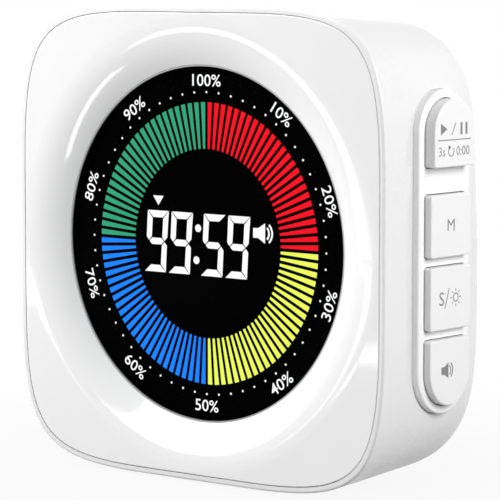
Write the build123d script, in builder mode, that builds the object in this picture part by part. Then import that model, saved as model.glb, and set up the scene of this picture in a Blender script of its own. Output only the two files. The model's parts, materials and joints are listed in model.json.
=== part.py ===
"""Visual countdown timer: a soft-cornered desk block with a round dial and four side buttons.

Millimetres, +Z up. The dial looks along -Y and the buttons stick out along +X. The origin is on
the table, midway between the sides and between the front face and the back of the housing.
"""

import os
from math import cos, pi, radians, sin, sqrt, tan

from build123d import *

os.makedirs("parts", exist_ok=True)

# ---------------------------------------------------------------- driving dimensions
# Housing: a deep tub, open at the front, that draws in towards a rounded back
face_size = 83.0  # side of the square front face, from seam to seam
rim_width = 1.05  # flat rim of the housing round the front face
corner_reach = 29.2  # length of side that each soft corner takes up
corner_pull = 0.86  # handle of the corner curve, as a share of its reach
body_depth = 39.0  # front rim to back
side_draft = 3.1  # degrees that each side leans in towards the back
rear_round_depth = 16.2  # the back edge starts to turn this far before the back
rear_flat = 60.0  # side of the flat that the round leaves on the back
wall = 2.0
back_wall = 2.2
rim_edge_radius = 0.4

# Front panel: a glossy dished frame that closes the tub
seam_gap = 0.1
panel_thickness = 4.0
dish_margin = 0.5  # the dish starts to fall this far from the seam
dish_drop = 2.4  # depth of the dish at the edge of the dial
panel_edge_radius = 0.2
post_sink = 1.6  # posts and collar start this far inside the panel

# Dial window, its glazing and what lights it
dial_hole_radius = 32.15
gasket_lip = 0.3  # width of the gasket that shows round the lens
lens_recess = 0.25  # the lens lies this far below the edge of the dish
lens_thickness = 1.45
gasket_foot = 0.15  # thickness of the gasket behind the lens
lens_shelf = 1.75  # width of the step that the lens rests on
shelf_thickness = 1.2
collar_wall = 2.4  # wall round the dial, behind the panel
fit_gap = 0.05  # between glued or pressed pieces
film_thickness = 0.2
light_box_thickness = 5.5
light_box_clearance = 0.3
board_thickness = 1.2
bar_count = 100
bar_inner_radius = 17.05
bar_outer_radius = 25.4
bar_gap = 0.6  # black line between two bars
digit_height = 11.3
digit_width = 5.15
digit_stroke = 1.42
digit_slot = 0.85  # width of the slot behind each bar of a digit
digit_pitch = 5.75  # between the two digits of a pair
pair_pitch = 13.4  # between the two pairs
readout_shift = -1.85  # middle of the readout, left of the dial centre
colon_dot = 0.7
colon_rise = 2.9
led_size = 0.55
led_length = 1.0
led_height = 0.5

# Button cluster on the right side
plate_inset = 0.95  # face of the button plate, in from the side of the rim
plate_width = 15.0
plate_depth_at = 18.6  # centre line of the plate, behind the front rim
plate_thickness = 2.8
plate_end_margin = 1.6  # plate beyond the first and last button
plate_edge_radius = 0.4
scoop_width = 6.0  # hollow in the housing round the plate
scoop_depth = 1.4  # its floor at the plate, below the plate's face
scoop_lip = 0.6  # its outer edge, above the plate's face
button_width = 11.8
start_height = 11.8
minute_height = 10.9
second_height = 11.0
volume_height = 11.7
start_gap = 4.8  # below the first button
button_gap = 1.7  # between the others
start_proud = 2.15  # first button, out of the plate
button_proud = 1.45  # the others
button_clearance = 0.2
button_corner = 0.6
button_edge_radius = 0.25
button_travel = 0.6
flange_margin = 0.5  # inner flange that keeps each button in
flange_thickness = 0.8
flange_play = 0.15
plate_ledge = 0.5  # step inside the opening that the plate seats on
ledge_thickness = 1.2
pad_margin = 2.2  # thickened wall round the opening
press_boss_radius = 1.8
press_boss_length = 0.85

# Switches behind the buttons
switch_size = 4.5
switch_height = 3.5
plunger_radius = 1.2
plunger_proud = 0.9
plunger_root = 1.2  # plunger inside its switch
plunger_well = 2.4
key_board_width = 15.0
key_board_overhang = 2.0  # board beyond its screws
key_post_margin = 2.0  # screw posts beyond the ends of the plate
key_post_radius = 1.9
key_screw_bite = 2.7  # depth of the screw holes in the posts

# Fixings
case_post_side = 14.9  # screw posts, in from the sides of the front face
case_post_end = 11.1  # and in from its top and bottom
case_post_radius = 2.4
case_boss_radius = 3.2
case_joint_depth = 14.0  # where the panel's posts meet the housing's bosses
case_head_depth = 26.0  # seat of the screw heads
post_skin = 1.5  # left beyond the bottom of a screw hole
screw_end_gap = 0.3
screw_radius = 1.15
screw_head_radius = 2.3
screw_head_height = 1.6
head_clearance = 0.3
small_screw_radius = 0.9
small_head_radius = 1.9
small_head_height = 1.2
cross_width = 0.6  # cross recess in every screw head
cross_depth = 0.8
cross_margin = 0.9  # head left beyond each arm of its cross
screw_clearance = 0.1
past_back = 1.0  # bosses and screw holes are drawn this far past the back, then trimmed by it
board_post_at = 33.2  # posts for the main board, from the dial centre, on the diagonals
board_post_radius = 2.0
ear_radius = 3.2

# Batteries: three AAA cells, side by side
cell_radius = 5.25
cell_length = 44.5
cell_nub_radius = 1.9
cell_nub_length = 1.0
cell_gap = 0.4
contact_space = 3.2  # at each end of the cells
contact_thickness = 0.3
contact_width = 8.0
spring_width = 4.0
battery_drop = 7.5  # centre of the cells, below the dial centre
pocket_wall = 1.2
pocket_clearance = 0.25
door_thickness = 1.6
door_gap = 0.2
door_seat = 0.1  # door above the floor of its recess
door_margin = 1.4  # door beyond the pocket on every side
door_cell_gap = 0.4
door_corner = 1.5
latch_width = 12.0
latch_length = 8.0
latch_slot = 1.0
tongue_width = 6.0
tongue_spacing = 30.0
tongue_reach = 2.0
tongue_thickness = 1.2
notch_play = 0.4
ridge_pitch = 1.6  # grip grooves across the latch
ridge_depth = 0.4
ridge_width = 0.7

# Speaker behind its grille
speaker_rise = 21.8
speaker_radius = 10.0
speaker_thickness = 3.6
magnet_radius = 5.0
magnet_thickness = 2.0
speaker_ring_wall = 1.0
speaker_ring_height = 3.0
foam_thickness = 0.3
foam_width = 2.0
grille_hole_radius = 0.75
grille_pitch = 2.6

# Feet: three rubber strips across a low plinth, the middle one under the middle of the depth
foot_stand = 0.4  # rim above the table
foot_width = 30.0
foot_strip = 5.0  # front to back
foot_pitch = 8.5
foot_corner = 2.0
foot_proud = 0.85  # strip out of the plinth
foot_recess = 0.5  # strip inside the plinth
plinth_margin = 0.8

# Wiring and small parts on the main board; places are x and height from the dial centre
wire_radius = 0.55
wire_pitch = 2.2
connector_height = 3.5
chip_size = 9.0
chip_height = 1.4
crystal_radius = 1.5
crystal_length = 8.0
capacitor_radius = 2.5
capacitor_height = 6.0
ribbon_width = 8.0
ribbon_thickness = 0.4
ribbon_bend = 3.0
ribbon_setback = 1.1  # behind the centre line of the button plate
plug_size = (7.0, 4.5)
ribbon_socket_length = 10.0
chip_at = (-9.0, -3.0)
crystal_at = (6.0, -9.0)
capacitor_at = (14.0, 2.0)
battery_plug_at = (-12.0, -18.0)
speaker_plug_at = (4.0, 16.0)
ribbon_socket_at = (20.0, -12.0)

# ---------------------------------------------------------------- places that follow from them
half_rim = face_size / 2 + rim_width
dial_z = half_rim + foot_stand
front_y = -body_depth / 2
round_start = body_depth - rear_round_depth
rear_round_inset = half_rim - body_depth * tan(radians(side_draft)) - rear_flat / 2

case_post_x = face_size / 2 - case_post_side
case_post_z = face_size / 2 - case_post_end
panel_back = panel_thickness
dish_radius = face_size / 2 - dish_margin
lens_radius = dial_hole_radius - gasket_lip - fit_gap
lens_front = dish_drop + lens_recess
lens_back = lens_front + lens_thickness
shelf_front = lens_back + fit_gap + gasket_foot
shelf_back = shelf_front + shelf_thickness
window_radius = dial_hole_radius - lens_shelf
film_front = shelf_front + fit_gap
film_back = film_front + film_thickness
light_box_back = film_back + fit_gap + light_box_thickness
light_box_radius = window_radius - light_box_clearance
board_back = light_box_back + board_thickness

plate_x = half_rim - plate_inset
seat_x = plate_x - plate_thickness
ledge_x = seat_x - ledge_thickness
button_heights = (start_height, minute_height, second_height, volume_height)
button_gaps = (start_gap, button_gap, button_gap)
plate_length = sum(button_heights) + sum(button_gaps) + 2 * plate_end_margin
flange_x = seat_x - flange_play
press_x = flange_x - flange_thickness - press_boss_length
switch_face_x = press_x - plunger_proud
key_board_x = switch_face_x - switch_height
key_post_z = plate_length / 2 + key_post_margin

pocket_width = cell_length + 2 * contact_space
pocket_height = 6 * cell_radius + 2 * cell_gap + 2 * pocket_clearance
cell_depth = body_depth - door_thickness - door_cell_gap - cell_radius
pocket_front = cell_depth - cell_radius - pocket_clearance
pocket_z = -battery_drop
cell_rises = [pocket_z + i * (2 * cell_radius + cell_gap) for i in (-1, 0, 1)]
door_width = pocket_width + 2 * door_margin
door_height = pocket_height + 2 * door_margin
door_top = pocket_z + door_height / 2
door_foot = pocket_z - door_height / 2
door_back = body_depth - door_thickness
recess_depth = door_back - door_seat
cavity_back = body_depth - back_wall
tongue_back = cavity_back - door_seat
speaker_face = cavity_back - foam_thickness


# ---------------------------------------------------------------- planes and outlines
def face_plane(depth):
    """Plane at a depth behind the front rim, seen from the front, centred on the dial."""
    return Plane(origin=(0, front_y + depth, dial_z), x_dir=(1, 0, 0), z_dir=(0, -1, 0))


def side_plane(x):
    """Plane at x, seen from the right, centred on the button plate: local x is +Y, local y is +Z."""
    return Plane(origin=(x, front_y + plate_depth_at, dial_z), x_dir=(0, 1, 0), z_dir=(1, 0, 0))


def table_plane(z):
    """Level plane at a height above the table, with its origin below the front rim."""
    return Plane(origin=(0, front_y, z), x_dir=(1, 0, 0), z_dir=(0, 0, 1))


def soft_square(half, reach):
    """A square with straight middles and corners that ease in gradually."""
    flat = half - reach
    pull = flat + corner_pull * reach
    with BuildLine() as outline:
        for turn in range(4):
            c, s = round(cos(turn * pi / 2)), round(sin(turn * pi / 2))
            points = [(half, -flat), (half, flat), (half, pull), (pull, half), (flat, half)]
            a, b, b_handle, c_handle, d = [(x * c - y * s, x * s + y * c) for x, y in points]
            Line(a, b)
            Bezier(b, b_handle, c_handle, d)
    make_face(outline.edges())


def housing_inset(depth):
    """How far the side has come in at a depth: an even draft, then the quarter turn at the back."""
    inset = depth * tan(radians(side_draft))
    if depth > round_start:
        turn = min((depth - round_start) / rear_round_depth, 1.0)
        inset += rear_round_inset * (1 - sqrt(1 - turn * turn))
    return inset


def housing_form(stations, thinner):
    """Loft the housing's soft square through its depths, made smaller all round by thinner."""
    sections = []
    for depth in stations:
        inset = housing_inset(depth) + thinner
        with BuildSketch(face_plane(depth)) as section:
            soft_square(half_rim - inset, corner_reach + rim_width - inset)
        sections.append(section.sketch.face())
    loft(sections)


def turn_depths(last):
    """Depths through the back turn, evenly spaced round its quarter."""
    steps = [round_start + rear_round_depth * sin(radians(a)) for a in range(12, 90, 13)]
    return [d for d in steps if d < last - 0.5] + [last]


def four_corners(x, z):
    return Locations((x, z), (-x, z), (x, -z), (-x, -z))


def slab(front, back):
    """Turn the last sketch, drawn on face_plane(back), into a slab up to the depth front."""
    extrude(amount=back - front)


def cross_outline(head_radius):
    """Cross recess of a screw head, at each present place."""
    arm = 2 * (head_radius - cross_margin)
    Rectangle(arm, cross_width)
    Rectangle(cross_width, arm)


def foot_strips(grow):
    """Outlines of the three foot strips on a level plane, each larger all round by grow."""
    with Locations((0, body_depth / 2)):
        with GridLocations(0, foot_pitch, 1, 3):
            RectangleRounded(foot_width + 2 * grow, foot_strip + 2 * grow, foot_corner + grow)


def finish(builder, name):
    builder.part.label = name
    export_step(builder.part, f"parts/{name}.step")


# ---------------------------------------------------------------- housing
# The outer form alone, kept to trim what stands inside the tub
with BuildPart() as outer_form:
    housing_form([0, 6, 12, 18, round_start] + turn_depths(body_depth), 0)

with BuildPart() as cavity_form:
    housing_form([panel_back, 12, 18, round_start] + turn_depths(cavity_back), wall)

# Bosses, battery pocket, speaker ring and the thick pad round the buttons
with BuildPart() as inner_works:
    with BuildSketch(face_plane(body_depth + past_back)):
        with four_corners(case_post_x, case_post_z):
            Circle(case_boss_radius)
    slab(case_joint_depth, body_depth + past_back)
    with BuildSketch(face_plane(cavity_back)):
        with Locations((0, pocket_z)):
            Rectangle(pocket_width + 2 * pocket_wall, pocket_height + 2 * pocket_wall)
    slab(pocket_front - pocket_wall, cavity_back)
    with BuildSketch(face_plane(cavity_back)):
        with Locations((0, speaker_rise)):
            Circle(speaker_radius + fit_gap + speaker_ring_wall)
            Circle(speaker_radius + fit_gap, mode=Mode.SUBTRACT)
    slab(cavity_back - speaker_ring_height, cavity_back)
    with BuildSketch(side_plane(ledge_x)):
        SlotOverall(plate_length + 2 * pad_margin, plate_width + 2 * pad_margin, rotation=90)
    extrude(amount=plate_inset + plate_thickness + ledge_thickness)
    with BuildSketch(side_plane(key_board_x)):
        with Locations((0, key_post_z), (0, -key_post_z)):
            Circle(key_post_radius)
    extrude(amount=half_rim - key_board_x)
    add(outer_form.part, mode=Mode.INTERSECT)

# Hollow that falls from the side of the housing to the foot of the button plate
scoop_top = half_rim + scoop_lip
plate_front = plate_depth_at - plate_width / 2
plate_arc_z = (plate_length - plate_width) / 2


def scoop_section(z):
    """Cross-section of the hollow in front of the plate, on the level plane at z."""
    foot = (plate_x - scoop_depth, plate_front)
    lip = (plate_x + scoop_lip, plate_front - scoop_width)
    with BuildSketch(table_plane(z)) as section:
        with BuildLine() as outline:
            TangentArc(lip, foot, tangent=(0, 1))
            Polyline(foot, (scoop_top, plate_front), (scoop_top, plate_front - scoop_width), lip)
        make_face(outline.edges())
    return section.sketch.face()


with BuildPart() as scoop:
    extrude(scoop_section(dial_z), amount=plate_arc_z, both=True)
    mirror(about=Plane(origin=(0, front_y + plate_depth_at, dial_z), z_dir=(0, 1, 0)))
    for side in (1, -1):
        centre = (plate_x, front_y + plate_depth_at, dial_z + side * plate_arc_z)
        revolve(scoop_section(centre[2]), axis=Axis(centre, (-side, 0, 0)), revolution_arc=180)

with BuildPart() as housing:
    add(outer_form.part)
    rim_edge = housing.edges().group_by(Axis.Y)[0]
    fillet(rim_edge, rim_edge_radius)
    add(cavity_form.part, mode=Mode.SUBTRACT)
    with BuildSketch(face_plane(panel_back)):
        soft_square(face_size / 2, corner_reach)
    extrude(amount=panel_back, mode=Mode.SUBTRACT)
    add(inner_works.part)

    # feet: a level plinth under the leaning wall, and a recess in it for each strip
    plinth_width = foot_width + 2 * plinth_margin
    plinth_length = 2 * foot_pitch + foot_strip + 2 * plinth_margin
    plinth_back = (body_depth + plinth_length) / 2
    with BuildSketch(table_plane(foot_proud)):
        with Locations((0, body_depth / 2)):
            RectangleRounded(plinth_width, plinth_length, foot_corner + plinth_margin)
    extrude(amount=foot_stand + housing_inset(plinth_back) + wall / 2 - foot_proud)
    with BuildSketch(table_plane(0)):
        foot_strips(fit_gap)
    extrude(amount=foot_proud + foot_recess, mode=Mode.SUBTRACT)

    # opening for the button plate, its seating step and the hollow round it
    add(scoop.part, mode=Mode.SUBTRACT)
    with BuildSketch(side_plane(seat_x)):
        SlotOverall(plate_length + 2 * fit_gap, plate_width + 2 * fit_gap, rotation=90)
    extrude(amount=half_rim - seat_x, mode=Mode.SUBTRACT)
    with BuildSketch(side_plane(ledge_x)):
        SlotOverall(plate_length - 2 * plate_ledge, plate_width - 2 * plate_ledge, rotation=90)
    extrude(amount=seat_x - ledge_x, mode=Mode.SUBTRACT)
    with BuildSketch(side_plane(key_board_x)):
        with Locations((0, key_post_z), (0, -key_post_z)):
            Circle(small_screw_radius + screw_clearance)
    extrude(amount=key_screw_bite, mode=Mode.SUBTRACT)

    # screw holes, with deep recesses for the heads
    with BuildSketch(face_plane(body_depth + past_back)):
        with four_corners(case_post_x, case_post_z):
            Circle(screw_radius + screw_clearance)
    extrude(amount=body_depth + past_back - case_joint_depth, mode=Mode.SUBTRACT)
    with BuildSketch(face_plane(body_depth + past_back)):
        with four_corners(case_post_x, case_post_z):
            Circle(screw_head_radius + head_clearance)
    extrude(amount=body_depth + past_back - case_head_depth, mode=Mode.SUBTRACT)

    # battery pocket, the recess of its door, notches for the door's tongues, a fingernail dip
    with BuildSketch(face_plane(body_depth)):
        with Locations((0, pocket_z)):
            Rectangle(pocket_width, pocket_height)
    extrude(amount=body_depth - pocket_front, mode=Mode.SUBTRACT)
    with BuildSketch(face_plane(body_depth)):
        with Locations((0, pocket_z)):
            RectangleRounded(door_width + 2 * door_gap, door_height + 2 * door_gap, door_corner + door_gap)
    extrude(amount=body_depth - recess_depth, mode=Mode.SUBTRACT)
    notch_top = pocket_z - pocket_height / 2 + notch_play
    notch_foot = door_foot - tongue_reach - notch_play
    notch_z = (notch_top + notch_foot) / 2
    with BuildSketch(face_plane(recess_depth)):
        with Locations((tongue_spacing / 2, notch_z), (-tongue_spacing / 2, notch_z)):
            Rectangle(tongue_width + 2 * notch_play, notch_top - notch_foot)
    extrude(amount=recess_depth - tongue_back + 2 * tongue_thickness, mode=Mode.SUBTRACT)
    with BuildSketch(face_plane(body_depth)):
        with Locations((0, pocket_z + door_height / 2 + door_gap)):
            Circle(latch_width / 2 - latch_slot)
    extrude(amount=door_thickness / 2, mode=Mode.SUBTRACT)

    # speaker grille: one hole, then rings of six and twelve
    with BuildSketch(face_plane(body_depth)):
        with Locations((0, speaker_rise)):
            Circle(grille_hole_radius)
            with PolarLocations(grille_pitch, 6):
                Circle(grille_hole_radius)
            with PolarLocations(2 * grille_pitch, 12):
                Circle(grille_hole_radius)
    extrude(amount=2 * back_wall, mode=Mode.SUBTRACT)
finish(housing, "housing")

# ---------------------------------------------------------------- front panel and dial
with BuildPart() as front_panel:
    with BuildSketch(face_plane(panel_back)):
        soft_square(face_size / 2 - seam_gap, corner_reach - seam_gap)
    extrude(amount=panel_back)
    fillet(front_panel.edges().group_by(Axis.Y)[0], panel_edge_radius)
    with BuildSketch(face_plane(shelf_back)):
        Circle(dial_hole_radius + collar_wall)
    slab(panel_back - post_sink, shelf_back)
    with BuildSketch(face_plane(case_joint_depth)):
        with four_corners(case_post_x, case_post_z):
            Circle(case_post_radius)
    slab(panel_back - post_sink, case_joint_depth)
    with BuildSketch(face_plane(light_box_back)):
        with PolarLocations(board_post_at, 4, start_angle=45):
            Circle(board_post_radius)
    slab(panel_back - post_sink, light_box_back)

    # the dish: an arc turned about the dial's axis, level where it starts
    dial_axis = Axis((0, 0, dial_z), (0, 1, 0))
    with BuildSketch(table_plane(dial_z)):
        with BuildLine():
            brim = (dish_radius, 0)
            edge = (dial_hole_radius, dish_drop)
            TangentArc(brim, edge, tangent=(-1, 0))
            Polyline(edge, (0, dish_drop), (0, -1), (dish_radius, -1), brim)
        make_face()
    revolve(axis=dial_axis, mode=Mode.SUBTRACT)
    with BuildSketch(face_plane(shelf_front)):
        Circle(dial_hole_radius)
    extrude(amount=shelf_front, mode=Mode.SUBTRACT)
    with BuildSketch(face_plane(shelf_back)):
        Circle(window_radius)
    extrude(amount=shelf_back, mode=Mode.SUBTRACT)
    with BuildSketch(face_plane(case_joint_depth)):
        with four_corners(case_post_x, case_post_z):
            Circle(screw_radius + screw_clearance)
    extrude(amount=case_joint_depth - panel_back - post_skin, mode=Mode.SUBTRACT)
    with BuildSketch(face_plane(light_box_back)):
        with PolarLocations(board_post_at, 4, start_angle=45):
            Circle(small_screw_radius + screw_clearance)
    extrude(amount=light_box_back - panel_back - post_skin, mode=Mode.SUBTRACT)
finish(front_panel, "front_panel")

with BuildPart() as lens:
    with BuildSketch(face_plane(lens_back)):
        Circle(lens_radius)
    slab(lens_front, lens_back)
finish(lens, "lens")

with BuildPart() as lens_gasket:
    with BuildSketch(face_plane(shelf_front)):
        Circle(dial_hole_radius - fit_gap)
        Circle(lens_radius + fit_gap, mode=Mode.SUBTRACT)
    slab(dish_drop + fit_gap, shelf_front)
    with BuildSketch(face_plane(shelf_front)):
        Circle(lens_radius + 2 * fit_gap)
        Circle(window_radius, mode=Mode.SUBTRACT)
    slab(lens_back, shelf_front)
finish(lens_gasket, "lens_gasket")

with BuildPart() as dial_film:
    with BuildSketch(face_plane(film_back)):
        Circle(light_box_radius)
    slab(film_front, film_back)
finish(dial_film, "dial_film")


def digit_centres():
    """Centres of the four digits, left to right."""
    pairs = (readout_shift - pair_pitch / 2, readout_shift + pair_pitch / 2)
    return [pair + side * digit_pitch / 2 for pair in pairs for side in (-1, 1)]


def digit_segments():
    """Centre, length and angle of the seven bars of a digit, about its own centre."""
    across = (digit_width - digit_stroke) / 2
    rise = (digit_height - digit_stroke) / 2
    level = [(0, y, digit_width - 2 * digit_stroke, 0) for y in (-rise, 0, rise)]
    upright = [(x, y, rise - digit_stroke, 90) for x in (-across, across) for y in (-rise / 2, rise / 2)]
    return level + upright


with BuildPart() as light_box:
    with BuildSketch(face_plane(light_box_back)):
        Circle(light_box_radius)
    slab(film_back + fit_gap, light_box_back)
    # one slot behind each bar of the ring, with straight webs of even width between them
    with BuildSketch(face_plane(light_box_back)):
        half_angle = radians(180 / bar_count)
        with PolarLocations(0, bar_count, start_angle=90 - 180 / bar_count):
            inner = bar_inner_radius * sin(half_angle) - bar_gap / 2
            outer = bar_outer_radius * sin(half_angle) - bar_gap / 2
            near = bar_inner_radius * cos(half_angle)
            far = bar_outer_radius * cos(half_angle)
            Polygon((near, -inner), (far, -outer), (far, outer), (near, inner), align=None)
    extrude(amount=light_box_thickness, mode=Mode.SUBTRACT)
    with BuildSketch(face_plane(light_box_back)):
        for centre in digit_centres():
            for x, y, length, angle in digit_segments():
                with Locations((centre + x, y)):
                    Rectangle(length, digit_slot, rotation=angle)
        with Locations((readout_shift, colon_rise), (readout_shift, -colon_rise)):
            Circle(colon_dot)
    extrude(amount=light_box_thickness, mode=Mode.SUBTRACT)
finish(light_box, "light_box")

with BuildPart() as ring_leds:
    with BuildSketch(face_plane(light_box_back)):
        with PolarLocations((bar_inner_radius + bar_outer_radius) / 2, bar_count,
                            start_angle=90 - 180 / bar_count):
            Rectangle(led_length, led_size)
    slab(light_box_back - led_height, light_box_back)
finish(ring_leds, "ring_leds")

with BuildPart() as digit_leds:
    with BuildSketch(face_plane(light_box_back)):
        for centre in digit_centres():
            with Locations(*[(centre + x, y) for x, y, length, angle in digit_segments()]):
                Rectangle(led_size, led_size)
    slab(light_box_back - led_height, light_box_back)
finish(digit_leds, "digit_leds")

with BuildPart() as main_board:
    with BuildSketch(face_plane(board_back)):
        Circle(light_box_radius)
        for angle in (45, 135):
            SlotOverall(2 * (board_post_at + ear_radius), 2 * ear_radius, rotation=angle)
        with PolarLocations(board_post_at, 4, start_angle=45):
            Circle(small_screw_radius + screw_clearance, mode=Mode.SUBTRACT)
    slab(light_box_back, board_back)
finish(main_board, "main_board")

with BuildPart() as board_screws:
    with BuildSketch(face_plane(board_back + small_head_height)):
        with PolarLocations(board_post_at, 4, start_angle=45):
            Circle(small_head_radius)
    extrude(amount=small_head_height)
    fillet(board_screws.edges().group_by(Axis.Y)[-1], small_head_height / 3)
    with BuildSketch(face_plane(board_back + small_head_height)):
        with PolarLocations(board_post_at, 4, start_angle=45):
            cross_outline(small_head_radius)
    extrude(amount=cross_depth, mode=Mode.SUBTRACT)
    with BuildSketch(face_plane(board_back)):
        with PolarLocations(board_post_at, 4, start_angle=45):
            Circle(small_screw_radius)
    slab(panel_back + post_skin + screw_end_gap, board_back)
finish(board_screws, "board_screws")

# ---------------------------------------------------------------- small parts on the main board
with BuildPart() as controller_chip:
    with BuildSketch(face_plane(board_back + chip_height)):
        with Locations(chip_at):
            Rectangle(chip_size, chip_size)
    extrude(amount=chip_height)
finish(controller_chip, "controller_chip")

with BuildPart() as clock_crystal:
    crystal_end = (crystal_at[0], front_y + board_back + crystal_radius, dial_z + crystal_at[1])
    with BuildSketch(Plane(origin=crystal_end, x_dir=(0, 1, 0), z_dir=(1, 0, 0))):
        Circle(crystal_radius)
    extrude(amount=crystal_length)
finish(clock_crystal, "clock_crystal")

with BuildPart() as storage_capacitor:
    with BuildSketch(face_plane(board_back + capacitor_height)):
        with Locations(capacitor_at):
            Circle(capacitor_radius)
    extrude(amount=capacitor_height)
finish(storage_capacitor, "storage_capacitor")

with BuildPart() as board_connectors:
    with BuildSketch(face_plane(board_back + connector_height)):
        with Locations(battery_plug_at, speaker_plug_at):
            Rectangle(*plug_size)
        with Locations(ribbon_socket_at):
            Rectangle(plug_size[1], ribbon_socket_length)
    extrude(amount=connector_height)
finish(board_connectors, "board_connectors")

# ---------------------------------------------------------------- buttons
def button_spans():
    """Bottom and top of each button, from the dial centre, first button at the top."""
    spans = []
    top = plate_length / 2 - plate_end_margin
    for height, gap in zip(button_heights, (*button_gaps, 0)):
        spans.append((top - height, top))
        top -= height + gap
    return spans


def button_outline(span, grow, round_top=False, round_bottom=False):
    """Outline of a button, larger all round by grow: a rounded rectangle, or one end a half circle."""
    bottom, top = span[0] - grow, span[1] + grow
    half = button_width / 2 + grow
    corner = button_corner + grow
    if not (round_top or round_bottom):
        with Locations((0, (bottom + top) / 2)):
            RectangleRounded(2 * half, top - bottom, corner)
        return
    up = 1 if round_top else -1
    tip, foot = (top, bottom) if round_top else (bottom, top)
    with BuildLine() as outline:
        ThreePointArc((-half, tip - up * half), (0, tip), (half, tip - up * half))
        FilletPolyline((half, tip - up * half), (half, foot), (-half, foot), (-half, tip - up * half),
                       radius=corner)
    make_face(outline.edges())


def is_round(index):
    """The first button is round at the top, the last one at the bottom."""
    return {"round_top": index == 0, "round_bottom": index == len(button_heights) - 1}


with BuildPart() as button_plate:
    with BuildSketch(side_plane(seat_x)):
        SlotOverall(plate_length, plate_width, rotation=90)
    extrude(amount=plate_thickness)
    fillet(button_plate.edges().group_by(Axis.X)[-1], plate_edge_radius)
    for index, span in enumerate(button_spans()):
        with BuildSketch(side_plane(seat_x)):
            button_outline(span, button_clearance, **is_round(index))
        extrude(amount=plate_thickness, mode=Mode.SUBTRACT)
finish(button_plate, "button_plate")

button_names = ("start_stop", "minute", "second", "volume")
for index, (name, span) in enumerate(zip(button_names, button_spans())):
    proud = start_proud if index == 0 else button_proud
    with BuildPart() as button:
        with BuildSketch(side_plane(flange_x)):
            button_outline(span, 0, **is_round(index))
        extrude(amount=plate_x + proud - flange_x)
        fillet(button.edges().group_by(Axis.X)[-1], button_edge_radius)
        with BuildSketch(side_plane(flange_x - flange_thickness)):
            button_outline(span, flange_margin, **is_round(index))
        extrude(amount=flange_thickness)
        with BuildSketch(side_plane(press_x)):
            with Locations((0, sum(span) / 2)):
                Circle(press_boss_radius)
        extrude(amount=press_boss_length)
    finish(button, f"{name}_button")

    with BuildPart() as plunger:
        with BuildSketch(side_plane(switch_face_x - plunger_root)):
            with Locations((0, sum(span) / 2)):
                Circle(plunger_radius)
        extrude(amount=plunger_root + plunger_proud)
    finish(plunger, f"{name}_plunger")

with BuildPart() as key_switches:
    with BuildSketch(side_plane(key_board_x)):
        with Locations(*[(0, sum(span) / 2) for span in button_spans()]):
            Rectangle(switch_size, switch_size)
    extrude(amount=switch_height)
    with BuildSketch(side_plane(switch_face_x - plunger_well)):
        with Locations(*[(0, sum(span) / 2) for span in button_spans()]):
            Circle(plunger_radius + fit_gap)
    extrude(amount=plunger_well, mode=Mode.SUBTRACT)
finish(key_switches, "key_switches")

with BuildPart() as key_board:
    with BuildSketch(side_plane(key_board_x - board_thickness)):
        Rectangle(key_board_width, 2 * (key_post_z + key_board_overhang))
        with Locations((0, key_post_z), (0, -key_post_z)):
            Circle(small_screw_radius + screw_clearance, mode=Mode.SUBTRACT)
    extrude(amount=board_thickness)
finish(key_board, "key_board")

# ---------------------------------------------------------------- batteries and their door
pocket_end = pocket_width / 2
with BuildPart() as battery_cells:
    for turn, rise in zip((1, -1, 1), cell_rises):
        with BuildSketch(Plane(origin=(-turn * cell_length / 2, front_y + cell_depth, dial_z + rise),
                               x_dir=(0, 1, 0), z_dir=(turn, 0, 0))):
            Circle(cell_radius)
        extrude(amount=cell_length - cell_nub_length)
        with BuildSketch(Plane(origin=(turn * (cell_length / 2 - cell_nub_length), front_y + cell_depth,
                                       dial_z + rise), x_dir=(0, 1, 0), z_dir=(turn, 0, 0))):
            Circle(cell_nub_radius)
        extrude(amount=cell_nub_length)
finish(battery_cells, "battery_cells")


def contact_pair(side, rise, above):
    """Strip on one end wall of the pocket that joins the cell at rise to the one above it."""
    strip = 2 * cell_radius + cell_gap if above else 0
    wall_plane = Plane(origin=(side * pocket_end, front_y + cell_depth, dial_z + rise + strip / 2),
                       x_dir=(0, side, 0), z_dir=(side, 0, 0))
    with BuildSketch(wall_plane) as section:
        Rectangle(contact_width, contact_width + strip)
    extrude(section.sketch.face(), amount=-contact_thickness)


def nub_contact(side, rise):
    """Raised stud that meets the nub of a cell."""
    stud_plane = Plane(origin=(side * (cell_length / 2 + fit_gap), front_y + cell_depth, dial_z + rise),
                       x_dir=(0, side, 0), z_dir=(side, 0, 0))
    with BuildSketch(stud_plane) as section:
        Circle(cell_nub_radius)
    extrude(section.sketch.face(), amount=contact_space - fit_gap - contact_thickness)


def spring_contact(side, rise):
    """Bowed leaf that presses on the flat end of a cell."""
    wall_x = side * (pocket_end - contact_thickness)
    tip_x = side * (cell_length / 2 + fit_gap)
    reach = contact_width / 2
    with BuildSketch(table_plane(dial_z + rise)) as section:
        with BuildLine() as outline:
            ThreePointArc((wall_x, cell_depth - reach), (tip_x, cell_depth), (wall_x, cell_depth + reach))
            Line((wall_x, cell_depth + reach), (wall_x, cell_depth + reach - 2 * contact_thickness))
            ThreePointArc((wall_x, cell_depth + reach - 2 * contact_thickness),
                          (tip_x + side * contact_thickness, cell_depth),
                          (wall_x, cell_depth - reach + 2 * contact_thickness))
            Line((wall_x, cell_depth - reach + 2 * contact_thickness), (wall_x, cell_depth - reach))
        make_face(outline.edges())
    extrude(section.sketch.face(), amount=spring_width / 2, both=True)


with BuildPart() as right_contacts:
    contact_pair(1, cell_rises[0], above=True)
    contact_pair(1, cell_rises[2], above=False)
    nub_contact(1, cell_rises[0])
    spring_contact(1, cell_rises[1])
    nub_contact(1, cell_rises[2])
finish(right_contacts, "right_battery_contacts")

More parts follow.
